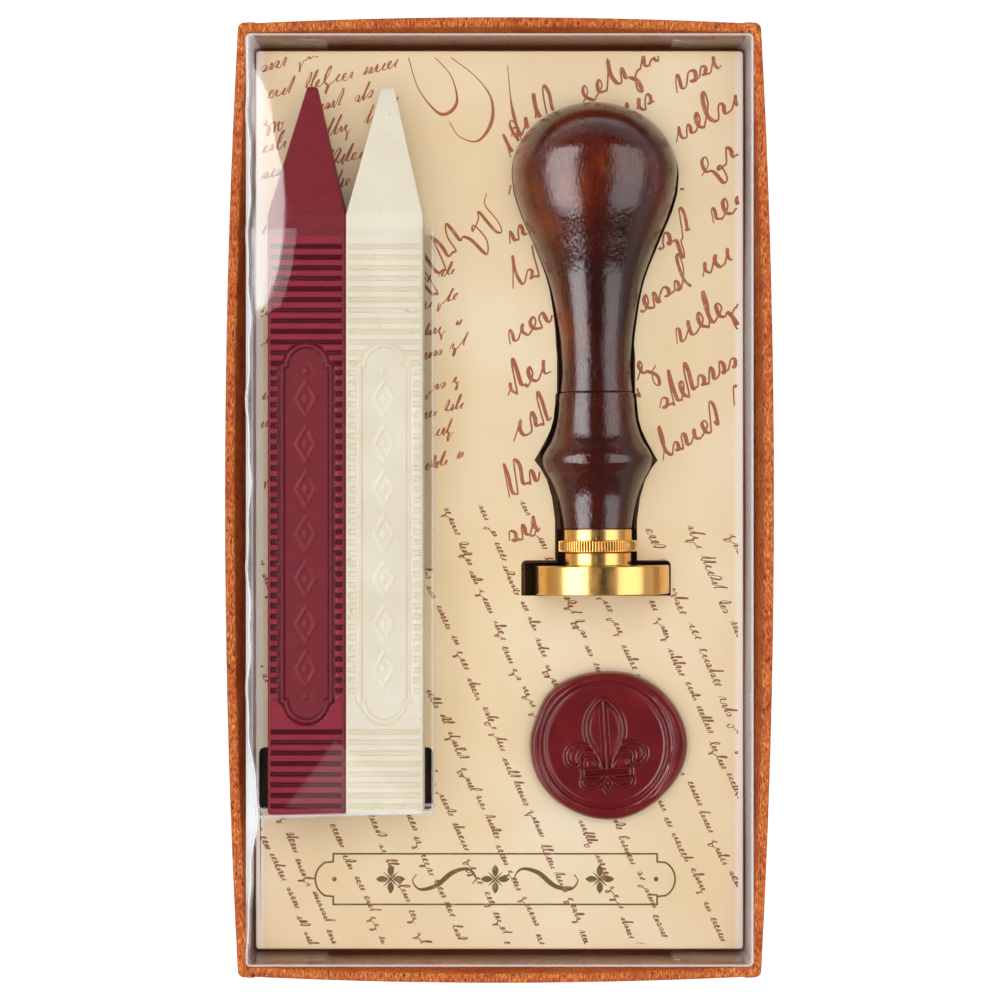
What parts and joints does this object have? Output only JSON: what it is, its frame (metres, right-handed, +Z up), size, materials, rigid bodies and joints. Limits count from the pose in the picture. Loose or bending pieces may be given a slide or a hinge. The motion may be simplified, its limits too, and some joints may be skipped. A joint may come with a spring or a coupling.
{
  "type": "wax seal set box",
  "caption": "Shallow paper-covered gift tray with a clear lift-off lid, holding sealing wax sticks in a sleeve, a wood and brass seal stamp and a wax seal sample.",
  "frame": {"origin": "middle of the underside", "axes": "+Y along the length towards the knob end, +Z up through the clear lid"},
  "size_m": [0.1014, 0.1782, 0.0355],
  "materials": {
    "greyboard": "raw grey board",
    "wrap_paper": "embossed orange-brown covering paper",
    "kraft_tape": "gummed paper tape",
    "tape": "double-sided tape",
    "foam": "black EVA foam",
    "card": "printed cream card, satin varnish",
    "film": "clear PET film",
    "red_wax": "burgundy sealing wax",
    "ivory_wax": "ivory sealing wax",
    "wood": "dark stained beech, varnished",
    "brass": "turned and polished",
    "steel": "threaded rod",
    "glue": "hot-melt glue"
  },
  "bodies": {
    "tray": {"base_board": "greyboard", "wall_board_left": "greyboard", "wall_board_right": "greyboard", "wall_board_head": "greyboard", "wall_board_foot": "greyboard", "corner_stays": "kraft_tape", "tray_wrap": "wrap_paper", "base_sheet": "wrap_paper", "insert_glue_strips": "tape", "foam_insert": "foam", "platform_card": "card", "seal_glue_dot": "glue", "wax_seal_sample": "red_wax"},
    "lid": {"lid_cover": "film"},
    "sleeve": {"stick_sleeve": "film"},
    "red_stick": {"wax_stick_red": "red_wax"},
    "ivory_stick": {"wax_stick_ivory": "ivory_wax"},
    "stamp": {"stamp_handle": "wood", "brass_collar": "brass", "stamp_stud": "steel"},
    "seal_head": {"seal_head": "brass"}
  },
  "joints": [
    {"name": "lid_lift", "type": "slide", "parent": "tray", "child": "lid", "axis": [0, 0, 1], "range_m": [0, 0.2]},
    {"name": "sleeve_lift", "type": "slide", "parent": "tray", "child": "sleeve", "axis": [0, 0, 1], "range_m": [0, 0.1]},
    {"name": "red_stick_slide", "type": "slide", "parent": "sleeve", "child": "red_stick", "axis": [0, 1, 0], "range_m": [0, 0.024]},
    {"name": "ivory_stick_slide", "type": "slide", "parent": "sleeve", "child": "ivory_stick", "axis": [0, 1, 0], "range_m": [0, 0.018]},
    {"name": "stamp_lift", "type": "slide", "parent": "tray", "child": "stamp", "axis": [0, 0, 1], "range_m": [0, 0.08]},
    {"name": "seal_head_turn", "type": "hinge", "parent": "stamp", "child": "seal_head", "pos_m": [0.01837, -0.0175, 0.0185], "axis": [-0.0079, 1, 0], "continuous": true}
  ],
  "couplings": [
    {"joint": "sleeve_lift", "follows": "lid_lift", "ratio": 0.5},
    {"joint": "stamp_lift", "follows": "lid_lift", "ratio": 0.4},
    {"joint": "red_stick_slide", "follows": "lid_lift", "ratio": 0.12},
    {"joint": "ivory_stick_slide", "follows": "lid_lift", "ratio": 0.09}
  ]
}
